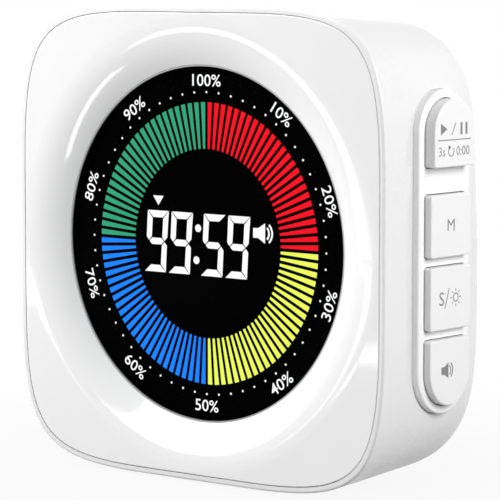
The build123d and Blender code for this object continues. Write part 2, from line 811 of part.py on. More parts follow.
with BuildPart() as left_contacts:
    contact_pair(-1, cell_rises[0], above=False)
    contact_pair(-1, cell_rises[1], above=True)
    spring_contact(-1, cell_rises[0])
    nub_contact(-1, cell_rises[1])
    spring_contact(-1, cell_rises[2])
finish(left_contacts, "left_battery_contacts")

with BuildPart() as battery_door:
    with BuildSketch(face_plane(body_depth)):
        with Locations((0, pocket_z)):
            RectangleRounded(door_width, door_height, door_corner)
        for side in (1, -1):
            with Locations((side * (latch_width + latch_slot) / 2, door_top - latch_length / 2)):
                Rectangle(latch_slot, latch_length, mode=Mode.SUBTRACT)
    extrude(amount=door_thickness)
    with BuildSketch(face_plane(body_depth)):
        with Locations((0, door_top - latch_length / 2)):
            with GridLocations(0, ridge_pitch, 1, 3):
                Rectangle(latch_width - 2 * latch_slot, ridge_width)
    extrude(amount=ridge_depth, mode=Mode.SUBTRACT)
    # two tongues that reach under the housing below the door, each on a short neck
    with BuildSketch(face_plane(door_back)):
        for side in (1, -1):
            with Locations((side * tongue_spacing / 2, door_foot + tongue_thickness / 2)):
                Rectangle(tongue_width, tongue_thickness)
    extrude(amount=door_back - tongue_back + tongue_thickness)
    with BuildSketch(face_plane(tongue_back)):
        for side in (1, -1):
            with Locations((side * tongue_spacing / 2, door_foot - tongue_reach / 2 + tongue_thickness / 2)):
                Rectangle(tongue_width, tongue_reach + tongue_thickness)
    extrude(amount=tongue_thickness)
finish(battery_door, "battery_door")

# ---------------------------------------------------------------- speaker
with BuildPart() as speaker:
    with BuildSketch(face_plane(speaker_face)):
        with Locations((0, speaker_rise)):
            Circle(speaker_radius)
    extrude(amount=speaker_thickness)
    with BuildSketch(face_plane(speaker_face - speaker_thickness)):
        with Locations((0, speaker_rise)):
            Circle(magnet_radius)
    extrude(amount=magnet_thickness)
finish(speaker, "speaker")

with BuildPart() as speaker_foam_ring:
    with BuildSketch(face_plane(cavity_back)):
        with Locations((0, speaker_rise)):
            Circle(speaker_radius)
            Circle(speaker_radius - foam_width, mode=Mode.SUBTRACT)
    extrude(amount=foam_thickness)
finish(speaker_foam_ring, "speaker_foam")

# ---------------------------------------------------------------- fasteners and feet
with BuildPart() as case_screws:
    with BuildSketch(face_plane(case_head_depth + screw_head_height)):
        with four_corners(case_post_x, case_post_z):
            Circle(screw_head_radius)
    extrude(amount=screw_head_height)
    fillet(case_screws.edges().group_by(Axis.Y)[-1], screw_head_height / 3)
    with BuildSketch(face_plane(case_head_depth + screw_head_height)):
        with four_corners(case_post_x, case_post_z):
            cross_outline(screw_head_radius)
    extrude(amount=cross_depth, mode=Mode.SUBTRACT)
    with BuildSketch(face_plane(case_head_depth)):
        with four_corners(case_post_x, case_post_z):
            Circle(screw_radius)
    slab(panel_back + post_skin + screw_end_gap, case_head_depth)
finish(case_screws, "case_screws")

with BuildPart() as key_board_screws:
    board_inner_x = key_board_x - board_thickness
    with BuildSketch(side_plane(board_inner_x - small_head_height)):
        with Locations((0, key_post_z), (0, -key_post_z)):
            Circle(small_head_radius)
    extrude(amount=small_head_height)
    fillet(key_board_screws.edges().group_by(Axis.X)[0], small_head_height / 3)
    with BuildSketch(side_plane(board_inner_x - small_head_height)):
        with Locations((0, key_post_z), (0, -key_post_z)):
            cross_outline(small_head_radius)
    extrude(amount=cross_depth, mode=Mode.SUBTRACT)
    with BuildSketch(side_plane(board_inner_x)):
        with Locations((0, key_post_z), (0, -key_post_z)):
            Circle(small_screw_radius)
    extrude(amount=board_thickness + key_screw_bite - screw_end_gap)
finish(key_board_screws, "key_board_screws")

with BuildPart() as foot_pads:
    with BuildSketch(table_plane(0)):
        foot_strips(0)
    extrude(amount=foot_proud + foot_recess)
finish(foot_pads, "foot_pads")


# ---------------------------------------------------------------- wiring
def wire(start, end, lead):
    """A wire that leaves and arrives straight, with one slant between; points are x, depth, height."""
    ends = [Vector(x, front_y + depth, dial_z + z) for x, depth, z in (start, end)]
    first, last = ends[0] + Vector(0, lead, 0), ends[1] - Vector(0, lead, 0)
    slant = last - first
    turn = slant.get_angle(Vector(0, 1, 0))
    radius = 0.45 * min(lead, slant.length) / tan(radians(turn / 2))
    with BuildLine() as path:
        FilletPolyline(ends[0], first, last, ends[1], radius=radius)
    with BuildSketch(Plane(origin=ends[0], z_dir=(0, 1, 0))) as section:
        Circle(wire_radius)
    sweep(section.sketch.face(), path=path.wires()[0])


plug_back = board_back + connector_height
with BuildPart() as battery_leads:
    for side in (1, -1):
        start = (battery_plug_at[0] + side * wire_pitch / 2, plug_back, battery_plug_at[1])
        end = (start[0] - 3 * wire_pitch, pocket_front - pocket_wall, start[2] + 2 * wire_pitch)
        wire(start, end, (end[1] - start[1]) / 3)
finish(battery_leads, "battery_leads")

with BuildPart() as speaker_leads:
    for side in (1, -1):
        start = (speaker_plug_at[0] + side * wire_pitch / 2, plug_back, speaker_plug_at[1])
        end = (side * (magnet_radius + speaker_radius) / 2, speaker_face - speaker_thickness, speaker_rise)
        wire(start, end, (end[1] - start[1]) / 3)
finish(speaker_leads, "speaker_leads")

# flat cable from the key board to its socket, with one easy bend
ribbon_y = front_y + plate_depth_at + ribbon_setback
ribbon_z = dial_z + ribbon_socket_at[1]
with BuildPart() as key_cable:
    with BuildLine() as cable_path:
        FilletPolyline((board_inner_x, ribbon_y, ribbon_z), (ribbon_socket_at[0], ribbon_y, ribbon_z),
                       (ribbon_socket_at[0], front_y + plug_back, ribbon_z), radius=ribbon_bend)
    with BuildSketch(Plane(origin=(board_inner_x, ribbon_y, ribbon_z), x_dir=(0, 1, 0), z_dir=(1, 0, 0))):
        Rectangle(ribbon_thickness, ribbon_width)
    sweep(path=cable_path.wires()[0])
finish(key_cable, "key_cable")
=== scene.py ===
# %% [markdown]
# # Dressing a visual countdown timer
#
# This lesson takes a finished CAD model of a desk timer and gives it everything that the eye
# needs: a lit dial, printed key legends, battery sleeves, plastics that look moulded, and a
# bright studio. The solids stay where the CAD put them. We only add thin, visible pieces on top
# and give every part a material.
#
# The script loads the CAD model itself as a fixed frame, and at the end it prints how far the
# dressed timer reaches past the CAD box. Lengths are metres in Blender. The drawings below are in
# millimetres, and `mm` turns them into metres.

# %% Load the solid model
import json
from math import cos, radians, sin

import bmesh
import bpy
from mathutils import Matrix, Vector


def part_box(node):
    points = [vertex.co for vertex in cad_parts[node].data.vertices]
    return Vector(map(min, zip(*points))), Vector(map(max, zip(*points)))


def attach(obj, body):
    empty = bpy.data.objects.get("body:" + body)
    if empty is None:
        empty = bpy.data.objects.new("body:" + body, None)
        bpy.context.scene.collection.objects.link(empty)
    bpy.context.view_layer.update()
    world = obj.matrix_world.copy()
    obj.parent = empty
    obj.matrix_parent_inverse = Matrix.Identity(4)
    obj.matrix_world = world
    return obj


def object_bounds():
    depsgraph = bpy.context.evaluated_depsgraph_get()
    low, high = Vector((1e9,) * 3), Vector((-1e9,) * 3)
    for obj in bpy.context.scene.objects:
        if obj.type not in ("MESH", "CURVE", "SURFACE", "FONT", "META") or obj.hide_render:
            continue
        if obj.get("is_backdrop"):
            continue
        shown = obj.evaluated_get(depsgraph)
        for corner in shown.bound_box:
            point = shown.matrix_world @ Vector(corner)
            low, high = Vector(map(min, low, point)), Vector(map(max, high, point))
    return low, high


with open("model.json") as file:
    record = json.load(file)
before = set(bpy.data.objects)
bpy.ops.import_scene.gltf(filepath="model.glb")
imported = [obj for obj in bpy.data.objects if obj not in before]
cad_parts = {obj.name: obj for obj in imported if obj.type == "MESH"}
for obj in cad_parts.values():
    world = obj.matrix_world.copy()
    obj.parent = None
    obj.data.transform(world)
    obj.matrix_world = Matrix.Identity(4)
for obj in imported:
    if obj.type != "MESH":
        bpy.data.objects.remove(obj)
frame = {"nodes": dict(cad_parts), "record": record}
cad_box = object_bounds()
nodes = frame["nodes"]
mm = 0.001
print("CAD nodes:", len(nodes), "box in mm:", [round(v / mm, 1) for v in cad_box[1] - cad_box[0]])

# %% [markdown]
# ## Where things are
#
# A good scene script measures instead of guessing. The box of the lens tells us where the dial
# is, so its print follows if the CAD changes. A placing matrix does the rest: it stands a flat
# drawing up on the dial. The buttons and the back get planes like it where we first need them.

# %% Measure the dial and name its drawing plane
lens_low, lens_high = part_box("lens")
dial_centre = Vector((0, lens_low.y, (lens_low.z + lens_high.z) / 2))
lens_radius = (lens_high.z - lens_low.z) / 2
print("lens radius in mm:", round(lens_radius / mm, 2))


def on_dial(depth):
    """Drawing plane that far behind the front of the lens: x right, y up, z to the viewer."""
    return Matrix.Translation(dial_centre + Vector((0, depth, 0))) @ Matrix.Rotation(radians(90), 4, "X")


# %% [markdown]
# ## Drawing with bmesh
#
# Print and lit segments are all the same kind of thing: a flat outline with a little thickness.
# We could use curves, but a bmesh keeps every piece a plain mesh that the exporter likes. Each
# piece starts as a few corners or a text object, is given a thickness, is placed by a matrix,
# and rides on a CAD body. The last two steps are the same for all of them.


# %% From a bmesh to a piece that rides on a body
def new_piece(name, sheet, place, body, material):
    """Write a bmesh to a new object in its place, let it ride on a body and name its finish."""
    bmesh.ops.transform(sheet, matrix=place, verts=sheet.verts)
    mesh = bpy.data.meshes.new(name)
    sheet.to_mesh(mesh)
    sheet.free()
    piece = bpy.data.objects.new(name, mesh)
    bpy.context.scene.collection.objects.link(piece)
    mesh.materials.append(material)
    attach(piece, body)
    print(f"{name}: {len(mesh.polygons)} faces on {body}")


# %% [markdown]
# ## Materials
#
# No real surface is one flat colour. Moulded plastic has faint clouds where it cooled unevenly
# and a grain too fine to see except in the gloss. We build that once, as a node group with named
# inputs, and every plastic uses it with its own values. Metals get a group of their own, so what
# both groups share comes first: a pattern that mixes two colours and changes the gloss.


# %% What every surface group shares
def surface_group(name, inputs):
    """A group that takes two colours, a gloss and more, and puts out colour, roughness and relief."""
    group = bpy.data.node_groups.new(name, "ShaderNodeTree")
    for label, kind, value in inputs:
        socket = group.interface.new_socket(label, in_out="INPUT", socket_type=kind)
        socket.default_value = value
    for label, kind in (("Colour", "NodeSocketColor"), ("Roughness", "NodeSocketFloat"),
                        ("Relief", "NodeSocketFloat")):
        group.interface.new_socket(label, in_out="OUTPUT", socket_type=kind)
    return group, group.nodes.new("NodeGroupInput"), group.nodes.new("NodeGroupOutput")


def tint_and_gloss(group, given, made, pattern):
    """Let a pattern mix the two colours and add to the gloss."""
    link = group.links.new
    tint = group.nodes.new("ShaderNodeMix")
    tint.data_type = "RGBA"
    link(pattern, tint.inputs["Factor"])
    link(given.outputs["Colour"], tint.inputs["A"])
    link(given.outputs["Second Colour"], tint.inputs["B"])
    link(tint.outputs["Result"], made.inputs["Colour"])
    gloss = group.nodes.new("ShaderNodeMath")
    gloss.operation = "MULTIPLY_ADD"
    link(pattern, gloss.inputs[0])
    link(given.outputs["Gloss Change"], gloss.inputs[1])
    link(given.outputs["Gloss"], gloss.inputs[2])
    link(gloss.outputs["Value"], made.inputs["Roughness"])


# %% A group for the skin of moulded plastic
def moulded_skin():
    """Colour clouds, uneven gloss and a fine grain, read from the surface's own place."""
    group, given, made = surface_group("moulded_skin", [
        ("Colour", "NodeSocketColor", (0.8, 0.8, 0.8, 1)),
        ("Second Colour", "NodeSocketColor", (0.75, 0.75, 0.75, 1)),
        ("Cloud Size", "NodeSocketFloat", 40.0),
        ("Gloss", "NodeSocketFloat", 0.2),
        ("Gloss Change", "NodeSocketFloat", 0.05),
        ("Grain Size", "NodeSocketFloat", 3000.0)])
    link = group.links.new
    where = group.nodes.new("ShaderNodeTexCoord")
    clouds = group.nodes.new("ShaderNodeTexNoise")
    clouds.inputs["Detail"].default_value = 3
    link(where.outputs["Object"], clouds.inputs["Vector"])
    link(given.outputs["Cloud Size"], clouds.inputs["Scale"])
    tint_and_gloss(group, given, made, clouds.outputs["Fac"])
    grain = group.nodes.new("ShaderNodeTexNoise")
    grain.inputs["Detail"].default_value = 2
    link(where.outputs["Object"], grain.inputs["Vector"])
    link(given.outputs["Grain Size"], grain.inputs["Scale"])
    link(grain.outputs["Fac"], made.inputs["Relief"])
    return group


skin = moulded_skin()
print("group:", skin.name, "with", len(skin.nodes), "nodes")


# %% Plastics and rubbers that use the skin
def plain_material(name):
    """A new material with its shader, ready for a pattern."""
    material = bpy.data.materials.new(name)
    material.use_nodes = True
    return material, material.node_tree, material.node_tree.nodes["Principled BSDF"]


def grouped_material(name, group, values, strength, depth):
    """A material whose colour, roughness and bump come from a group; the depth in millimetres."""
    material, tree, shader = plain_material(name)
    surface = tree.nodes.new("ShaderNodeGroup")
    surface.node_tree = group
    for label, value in values.items():
        surface.inputs[label].default_value = value
    bump = tree.nodes.new("ShaderNodeBump")
    bump.inputs["Strength"].default_value = strength
    bump.inputs["Distance"].default_value = depth * mm
    tree.links.new(surface.outputs["Colour"], shader.inputs["Base Color"])
    tree.links.new(surface.outputs["Roughness"], shader.inputs["Roughness"])
    tree.links.new(surface.outputs["Relief"], bump.inputs["Height"])
    tree.links.new(bump.outputs["Normal"], shader.inputs["Normal"])
    return material, shader


def moulded(name, colour, cloud=0.96, cloud_size=60.0, gloss=0.2, gloss_change=0.06,
            grain_depth=0.02, reflect=0.5):
    """A moulded plastic or rubber: its colour, how much its clouds darken, and how rough it is."""
    values = {"Colour": (*colour, 1), "Second Colour": (*[c * cloud for c in colour], 1),
              "Cloud Size": cloud_size, "Gloss": gloss, "Gloss Change": gloss_change, "Grain Size": 2500.0}
    material, shader = grouped_material(name, skin, values, 0.3, grain_depth)
    shader.inputs["Specular IOR Level"].default_value = reflect
    shader.inputs["IOR"].default_value = 1.5
    return material


finishes = {
    "housing": moulded("satin_white", (0.74, 0.74, 0.74), gloss=0.24, grain_depth=0.006),
    "panel": moulded("gloss_white", (0.82, 0.82, 0.82), gloss=0.06, gloss_change=0.03, grain_depth=0.002),
    "door": moulded("door_white", (0.79, 0.79, 0.785), gloss=0.3),
    "plate": moulded("plate_white", (0.84, 0.84, 0.84), gloss=0.14, grain_depth=0.006),
    "button": moulded("key_white", (0.79, 0.79, 0.79), gloss=0.3, grain_depth=0.01),
    "gasket": moulded("seal_grey", (0.34, 0.345, 0.35), gloss=0.4),
    "film": moulded("printed_film", (0.02, 0.02, 0.025), gloss=0.35),
    "light_box": moulded("reflector_white", (0.85, 0.85, 0.83), gloss=0.6),
    "led": moulded("phosphor_resin", (0.85, 0.80, 0.45), gloss=0.15),
    "chip": moulded("moulding_black", (0.02, 0.02, 0.022), gloss=0.5),
    "connector": moulded("nylon_cream", (0.75, 0.70, 0.58), gloss=0.4),
    "switch": moulded("switch_black", (0.03, 0.03, 0.032), gloss=0.35),
    "plunger": moulded("plunger_black", (0.05, 0.05, 0.052), gloss=0.3),
    "foam": moulded("black_foam", (0.03, 0.03, 0.03), cloud=0.5, cloud_size=1500, gloss=0.85),
    "foot": moulded("silicone_grey", (0.45, 0.45, 0.45), gloss=0.55, grain_depth=0.05),
    "battery_wire": moulded("red_insulation", (0.55, 0.02, 0.02), gloss=0.35),
    "speaker_wire": moulded("black_insulation", (0.02, 0.02, 0.02), gloss=0.35),
    "ribbon": moulded("flat_cable", (0.72, 0.72, 0.70), gloss=0.4),
}
print("moulded finishes:", len(finishes))


# %% [markdown]
# ## Metals and the circuit board
#
# Drawn and rolled metal has fine scratches that all run one way. A noise texture stretched by a
# Mapping node gives them. The board's green mask lies over copper tracks; a brick texture makes
# believable straight tracks that show as a lighter green and a slight step.


# %% Drawn metal
def drawn_metal():
    """Fine scratches along x that darken the colour and change the gloss."""
    group, given, made = surface_group("drawn_metal", [
        ("Colour", "NodeSocketColor", (0.6, 0.6, 0.6, 1)),
        ("Second Colour", "NodeSocketColor", (0.5, 0.5, 0.5, 1)),
        ("Gloss", "NodeSocketFloat", 0.25),
        ("Gloss Change", "NodeSocketFloat", 0.2)])
    link = group.links.new
    where = group.nodes.new("ShaderNodeTexCoord")
    stretch = group.nodes.new("ShaderNodeMapping")
    stretch.inputs["Scale"].default_value = (400, 4000, 4000)
    scratches = group.nodes.new("ShaderNodeTexNoise")
    scratches.inputs["Scale"].default_value = 1.0
    link(where.outputs["Object"], stretch.inputs["Vector"])
    link(stretch.outputs["Vector"], scratches.inputs["Vector"])
    tint_and_gloss(group, given, made, scratches.outputs["Fac"])
    link(scratches.outputs["Fac"], made.inputs["Relief"])
    return group


drawn = drawn_metal()
print("group:", drawn.name, "with", len(drawn.nodes), "nodes")


def metal(name, colour, gloss):
    """A metal with scratches a fifth darker than its colour."""
    values = {"Colour": (*colour, 1), "Second Colour": (*[c * 0.8 for c in colour], 1), "Gloss": gloss}
    material, shader = grouped_material(name, drawn, values, 0.2, 0.01)
    shader.inputs["Metallic"].default_value = 1.0
    return material


finishes["screw"] = metal("zinc_steel", (0.60, 0.60, 0.62), 0.3)
finishes["crystal"] = metal("drawn_can", (0.72, 0.72, 0.73), 0.2)
finishes["capacitor"] = metal("sleeved_can", (0.28, 0.30, 0.42), 0.3)
finishes["cell"] = metal("cell_jacket", (0.52, 0.53, 0.56), 0.28)
finishes["contact"] = metal("nickel_strip", (0.74, 0.71, 0.64), 0.2)
finishes["speaker"] = metal("black_basket", (0.10, 0.10, 0.105), 0.4)


# %% The circuit board
def circuit_board(name):
    """Green mask with lighter, slightly raised tracks."""
    material, tree, shader = plain_material(name)
    where = tree.nodes.new("ShaderNodeTexCoord")
    grid = tree.nodes.new("ShaderNodeMapping")
    grid.inputs["Rotation"].default_value = (radians(90), 0, 0)
    tracks = tree.nodes.new("ShaderNodeTexBrick")
    tracks.inputs["Color1"].default_value = (0.005, 0.09, 0.035, 1)
    tracks.inputs["Color2"].default_value = (0.006, 0.11, 0.04, 1)
    tracks.inputs["Mortar"].default_value = (0.02, 0.20, 0.08, 1)
    tracks.inputs["Scale"].default_value = 350
    tracks.inputs["Mortar Size"].default_value = 0.05
    bump = tree.nodes.new("ShaderNodeBump")
    bump.inputs["Distance"].default_value = 0.03 * mm
    tree.links.new(where.outputs["Object"], grid.inputs["Vector"])
    tree.links.new(grid.outputs["Vector"], tracks.inputs["Vector"])
    tree.links.new(tracks.outputs["Color"], shader.inputs["Base Color"])
    tree.links.new(tracks.outputs["Fac"], bump.inputs["Height"])
    tree.links.new(bump.outputs["Normal"], shader.inputs["Normal"])
    shader.inputs["Roughness"].default_value = 0.3
    return material


finishes["board"] = circuit_board("green_mask")
print("all finishes but the lens:", len(finishes))


# %% [markdown]
# ## The lens and the ink behind it
#
# The lens is a laminate: a clear face, the printed layer a little below it, and a black back. If
# we painted it black, the print would lie on top like a sticker. So the CAD lens becomes almost
# clear, and a black cup of ink stands inside it. Its rim closes the view from the side, as the
# black edge of a real lens does.


# %% Clear face
def clear_lens(name):
    """An almost clear, dark face with a soft, slightly uneven gloss."""
    material, tree, shader = plain_material(name)
    where = tree.nodes.new("ShaderNodeTexCoord")
    faint = tree.nodes.new("ShaderNodeTexNoise")
    faint.inputs["Scale"].default_value = 900
    gloss = tree.nodes.new("ShaderNodeMapRange")
    gloss.inputs["To Min"].default_value = 0.12
    gloss.inputs["To Max"].default_value = 0.2
    tree.links.new(where.outputs["Object"], faint.inputs["Vector"])
    tree.links.new(faint.outputs["Fac"], gloss.inputs["Value"])
    tree.links.new(gloss.outputs["Result"], shader.inputs["Roughness"])
    shader.inputs["Base Color"].default_value = (0.004, 0.004, 0.005, 1)
    shader.inputs["Alpha"].default_value = 0.04
    shader.inputs["Specular IOR Level"].default_value = 0.1
    return material


finishes["lens"] = clear_lens("lens_clear")
print("all finishes:", len(finishes))

# %% Black ink behind the print
ink_black = moulded("ink_black", (0.0006, 0.0006, 0.0006), gloss=0.7, reflect=0.0)
print_depth = 1.0 * mm
ink_depth = print_depth + 0.05 * mm  # the ink lies just behind the print
cup_radius = lens_radius - 0.04 * mm
cup_wall = ink_depth - 0.01 * mm  # the rim ends just behind the front of the lens
cup = bmesh.new()
bmesh.ops.create_circle(cup, cap_ends=True, segments=180, radius=cup_radius)
cup_rim = bmesh.ops.extrude_edge_only(cup, edges=[e for e in cup.edges if e.is_boundary])["geom"]
cup_top = [v for v in cup_rim if isinstance(v, bmesh.types.BMVert)]
bmesh.ops.translate(cup, vec=(0, 0, cup_wall), verts=cup_top)
new_piece("dial_ink", cup, on_dial(ink_depth), "case", ink_black)


# %% [markdown]
# ## The ring of bars
#
# A hundred bars stand for one hundred percent, twenty-five in each colour, with black lines of
# even width between them. Rotating one bar by 3.6 degrees again and again is exactly what the
# spin operator does when it duplicates instead of extruding.


# %% Flat outlines with a little thickness
def add_outline(sheet, corners):
    """One flat face from a few corners in millimetres."""
    return sheet.faces.new([sheet.verts.new((x * mm, y * mm, 0)) for x, y in corners])


def thicken(sheet, thickness):
    """Give every flat face a back and sides; the fronts move up to z = thickness."""
    fronts = bmesh.ops.extrude_face_region(sheet, geom=list(sheet.faces), use_keep_orig=True)["geom"]
    moved = [v for v in fronts if isinstance(v, bmesh.types.BMVert)]
    bmesh.ops.translate(sheet, vec=(0, 0, thickness), verts=moved)
    bmesh.ops.recalc_face_normals(sheet, faces=sheet.faces)


# %% Glowing colours
def glowing(name, colour, strength):
    """Lit print: the light is the colour, and a soft unevenness keeps it from looking painted on."""
    material, tree, shader = plain_material(name)
    where = tree.nodes.new("ShaderNodeTexCoord")
    clouds = tree.nodes.new("ShaderNodeTexNoise")
    clouds.inputs["Scale"].default_value = 350
    mix = tree.nodes.new("ShaderNodeMix")
    mix.data_type = "RGBA"
    mix.inputs["A"].default_value = (*colour, 1)
    mix.inputs["B"].default_value = (*[c * 0.92 for c in colour], 1)
    tree.links.new(where.outputs["Object"], clouds.inputs["Vector"])
    tree.links.new(clouds.outputs["Fac"], mix.inputs["Factor"])
    tree.links.new(mix.outputs["Result"], shader.inputs["Emission Color"])
    shader.inputs["Base Color"].default_value = (0.01, 0.01, 0.01, 1)
    shader.inputs["Specular IOR Level"].default_value = 0.0
    shader.inputs["Roughness"].default_value = 0.6
    shader.inputs["Emission Strength"].default_value = strength
    return material


bar_colours = {
    "red": (0.92, 0.0, 0.012),
    "yellow": (0.88, 1.0, 0.11),
    "blue": (0.005, 0.23, 1.0),
    "green": (0.03, 0.38, 0.20),
}
white_light = glowing("light_white", (1.0, 1.0, 1.0), 1.1)
print("lit colours:", *bar_colours, "white")

# %% Bars, twenty-five of each colour, clockwise from the top
bar_count = 100
quarter_bars = bar_count // 4
bar_step = 360 / bar_count
bar_inner, bar_outer = 17.05, 25.4
bar_gap = 0.6
bar_strength = 1.07
film = 0.03 * mm
half_share = sin(radians(bar_step / 2))
near, far = bar_inner * half_share - bar_gap / 2, bar_outer * half_share - bar_gap / 2
for quarter, (colour_name, colour) in enumerate(bar_colours.items()):
    sheet = bmesh.new()
    bar = add_outline(sheet, [(-near, bar_inner), (near, bar_inner), (far, bar_outer), (-far, bar_outer)])
    first_turn = -(quarter * 90 + bar_step / 2)
    bmesh.ops.rotate(sheet, verts=sheet.verts, matrix=Matrix.Rotation(radians(first_turn), 3, "Z"))
    bmesh.ops.spin(sheet, geom=[bar, *bar.edges, *bar.verts], axis=(0, 0, 1), use_duplicate=True,
                   angle=-radians(bar_step * (quarter_bars - 1)), steps=quarter_bars - 1)
    thicken(sheet, film)
    light = glowing(f"light_{colour_name}", colour, bar_strength)
    new_piece(f"{colour_name}_bars", sheet, on_dial(print_depth), "case", light)

# %% [markdown]
# ## Scale and digits
#
# Sixty dots mark the minutes outside the ring, and a percent scale stands outside the dots. The
# lower labels are turned round so that they read upright. The digits are seven-segment ones: each
# segment is drawn as a mitred shape, then shrunk a little so that a hairline stays between
# neighbours, and the whole digit leans by a few degrees.


# %% Minute dots
def round_the_dial(angle, radius):
    """A point at an angle clockwise from the top, in degrees."""
    return radius * sin(radians(angle)), radius * cos(radians(angle))


def add_disc(sheet, radius, centre, corners=24):
    """A filled circle."""
    bmesh.ops.create_circle(sheet, cap_ends=True, segments=corners, radius=radius * mm,
                            matrix=Matrix.Translation((centre[0] * mm, centre[1] * mm, 0)))


dot_count, dot_circle, dot_radius = 60, 27.2, 0.2
sheet = bmesh.new()
for dot in range(dot_count):
    add_disc(sheet, dot_radius, round_the_dial(dot * 360 / dot_count, dot_circle), corners=12)
thicken(sheet, film)
new_piece("minute_dots", sheet, on_dial(print_depth), "case", white_light)

# %% Lettering and percent scale
cap_share = 0.73  # cap height of the built-in font, as a share of its size


def add_text(sheet, words, height, centre=(0, 0), turn=0.0, stretch=1.0, bolder=0.0):
    """Lettering of a cap height on a point, turned clockwise by degrees, strokes wider by bolder."""
    letters = bpy.data.curves.new("letters", "FONT")
    letters.body = words
    letters.align_x, letters.align_y = "CENTER", "CENTER"
    letters.resolution_u = 3
    letters.size = height / cap_share * mm
    letters.offset = bolder * mm
    flat = bpy.data.objects.new("letters", letters)
    mesh = bpy.data.meshes.new_from_object(flat)
    xs, ys = [v.co.x for v in mesh.vertices], [v.co.y for v in mesh.vertices]
    centring = Matrix.Translation((-(min(xs) + max(xs)) / 2, -(min(ys) + max(ys)) / 2, 0))
    widening = Matrix.Diagonal((stretch, 1, 1, 1))
    turning = Matrix.Rotation(-radians(turn), 4, "Z")
    place = Matrix.Translation((centre[0] * mm, centre[1] * mm, 0))
    mesh.transform(place @ turning @ widening @ centring)
    sheet.from_mesh(mesh)
    bpy.data.objects.remove(flat)


label_count, label_circle, label_height = 10, 29.3, 2.2
label_stretch, label_bolder = 1.12, 0.01
sheet = bmesh.new()
for label in range(label_count):
    angle = label * 360 / label_count
    words = f"{label * 100 // label_count}%" if label else "100%"
    lower = 90 < angle < 270
    turn = angle - 180 if lower else angle
    add_text(sheet, words, label_height, round_the_dial(angle, label_circle), turn, label_stretch,
             label_bolder)
thicken(sheet, film)
new_piece("percent_scale", sheet, on_dial(print_depth), "case", white_light)

# %% Outlines of the seven-segment digits
digit_height, digit_width, stroke = 11.3, 5.15, 1.42
half_w, half_h, half_s = digit_width / 2, digit_height / 2, stroke / 2
top_bar = [(-half_w, half_h), (-half_w + stroke, half_h - stroke), (half_w - stroke, half_h - stroke),
           (half_w, half_h)]
middle_bar = [(-half_w + half_s, 0), (-half_w + stroke, -half_s), (half_w - stroke, -half_s),
              (half_w - half_s, 0), (half_w - stroke, half_s), (-half_w + stroke, half_s)]
upper_left = [(-half_w, half_h), (-half_w, half_s), (-half_w + half_s, 0), (-half_w + stroke, half_s),
              (-half_w + stroke, half_h - stroke)]
segments = {
    "top": top_bar,
    "middle": middle_bar,
    "bottom": [(x, -y) for x, y in top_bar],
    "upper left": upper_left,
    "upper right": [(-x, y) for x, y in upper_left],
    "lower right": [(-x, -y) for x, y in upper_left],
}
lit = {"9": ["top", "middle", "bottom", "upper left", "upper right", "lower right"],
       "5": ["top", "middle", "bottom", "upper left", "lower right"]}
print("segments drawn:", len(segments))

# %% The readout
readout = "9959"
digit_centres = (-11.87, -6.12, 1.53, 7.23)
readout_rise = -0.2
lean = 0.07
hairline = 0.26
colon_x, colon_rise, colon_radius = -2.2, 2.9, 0.7


def add_digit(sheet, digit, centre_x):
    """One leaning digit; each segment shrinks by half a hairline all round."""
    for name in lit[digit]:
        face = add_outline(sheet, [(x + lean * y + centre_x, y + readout_rise) for x, y in segments[name]])
        face.normal_update()
        rim = bmesh.ops.inset_individual(sheet, faces=[face], thickness=hairline / 2 * mm)["faces"]
        bmesh.ops.delete(sheet, geom=rim, context="FACES")


sheet = bmesh.new()
for digit, centre_x in zip(readout, digit_centres):
    add_digit(sheet, digit, centre_x)
for rise in (colon_rise, -colon_rise):
    add_disc(sheet, colon_radius, (colon_x + lean * rise, rise + readout_rise))
thicken(sheet, film)
new_piece("clock_digits", sheet, on_dial(print_depth), "case", white_light)


# %% [markdown]
# ## Signs beside the digits
#
# A small pointer above the first digit and a loudspeaker after the last one are lit like the
# digits. The loudspeaker is drawn to a height, because the volume button carries the same sign.


# %% Pointer and loudspeaker
def add_pointer(sheet, tip, half_width, height):
    """A triangle that stands on its tip."""
    x, y = tip
    add_outline(sheet, [(x - half_width, y + height), (x, y), (x + half_width, y + height)])


def add_arc(sheet, radius, width, start, sweep, steps, centre=(0, 0)):
    """A band bent round a centre, made by spinning a short edge; angles in degrees, anticlockwise."""
    pivot = Vector((centre[0], centre[1], 0)) * mm
    along = Vector((cos(radians(start)), sin(radians(start)), 0)) * mm
    ends = [sheet.verts.new(pivot + along * (radius + side * width / 2)) for side in (-1, 1)]
    edge = sheet.edges.new(ends)
    bmesh.ops.spin(sheet, geom=[*ends, edge], cent=pivot, axis=(0, 0, 1), angle=radians(sweep),
                   steps=steps, use_merge=(sweep == 360))


def add_loudspeaker(sheet, centre, size):
    """Loudspeaker sign of a height, with two waves to its right."""
    x, y = centre
    back, neck, low = x - 0.75 * size, x - 0.44 * size, 0.24 * size
    cone = [(x, y - size / 2), (x, y + size / 2)]
    add_outline(sheet, [(back, y - low), (neck, y - low), *cone, (neck, y + low), (back, y + low)])
    for radius in (0.37 * size, 0.57 * size):
        add_arc(sheet, radius, 0.1 * size, start=-50, sweep=100, steps=12, centre=(x - 0.12 * size, y))


pointer_tip, pointer_half_width, pointer_height = (-11.45, 6.4), 1.25, 1.7
loudspeaker_centre, loudspeaker_height = (13.5, 2.65), 3.6
sheet = bmesh.new()
add_pointer(sheet, pointer_tip, pointer_half_width, pointer_height)
add_loudspeaker(sheet, loudspeaker_centre, loudspeaker_height)
thicken(sheet, film)
new_piece("dial_signs", sheet, on_dial(print_depth), "case", white_light)


# %% [markdown]
# ## Key legends
#
# The legends are pad-printed in grey on the key caps. Each one rides on its own button, so it
# presses in with it. They use plain signs that any timer could carry: play and pause, a reset
# arrow between 3s and 0:00, M and S for minutes and seconds, a sun for brightness and a
# loudspeaker for volume.

